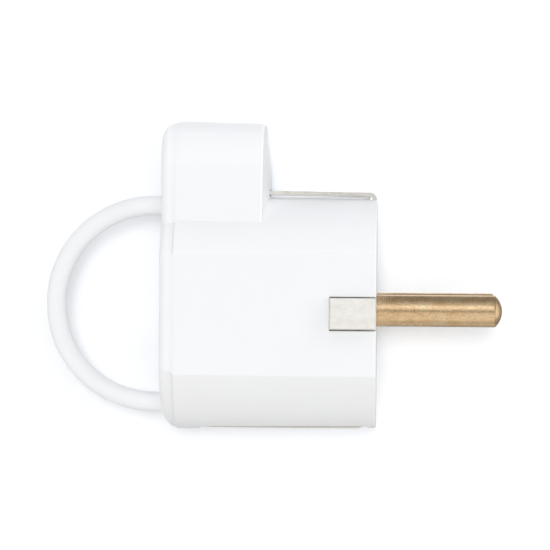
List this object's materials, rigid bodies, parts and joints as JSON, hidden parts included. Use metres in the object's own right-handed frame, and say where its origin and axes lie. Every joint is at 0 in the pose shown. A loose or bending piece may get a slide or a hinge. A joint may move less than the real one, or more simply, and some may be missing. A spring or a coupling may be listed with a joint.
{
  "type": "schuko plug",
  "caption": "Two-pole earthed mains plug with a side cord entry block and a round pull ring on its back.",
  "frame": {"origin": "centre of the engagement face, midway between the two contact pins", "axes": "+X along the pins towards their tips, +Y towards the cord entry, Z from pin to pin with +Z the flat side that faces up when it lies down"},
  "size_m": [0.0698, 0.047, 0.0332],
  "materials": {
    "shell": "white moulded plastic, satin gloss",
    "insert": "cream moulded insert, matt",
    "pin_brass": "worn bare brass, fine turning marks",
    "strap": "plated strip, warm grey, darker at the edges",
    "screw": "zinc plated",
    "nut_brass": "bare brass",
    "bush": "light grey soft plastic"
  },
  "bodies": {
    "root": {"housing": "shell", "rear_cover": "shell", "pull_ring": "shell", "contact_carrier": "insert", "pin_keeper_plate": "insert", "cord_clamp_bar": "insert", "contact_pin_a": "pin_brass", "contact_pin_b": "pin_brass", "pin_terminal_saddle_a": "screw", "pin_terminal_saddle_b": "screw", "pin_terminal_screw_a": "screw", "pin_terminal_screw_b": "screw", "earth_strap": "strap", "earth_terminal_saddle": "screw", "earth_terminal_screw": "screw", "assembly_screw": "screw", "assembly_insert": "nut_brass", "cord_clamp_screw_a": "screw", "cord_clamp_screw_b": "screw", "cord_entry_bush": "bush"}
  },
  "joints": []
}
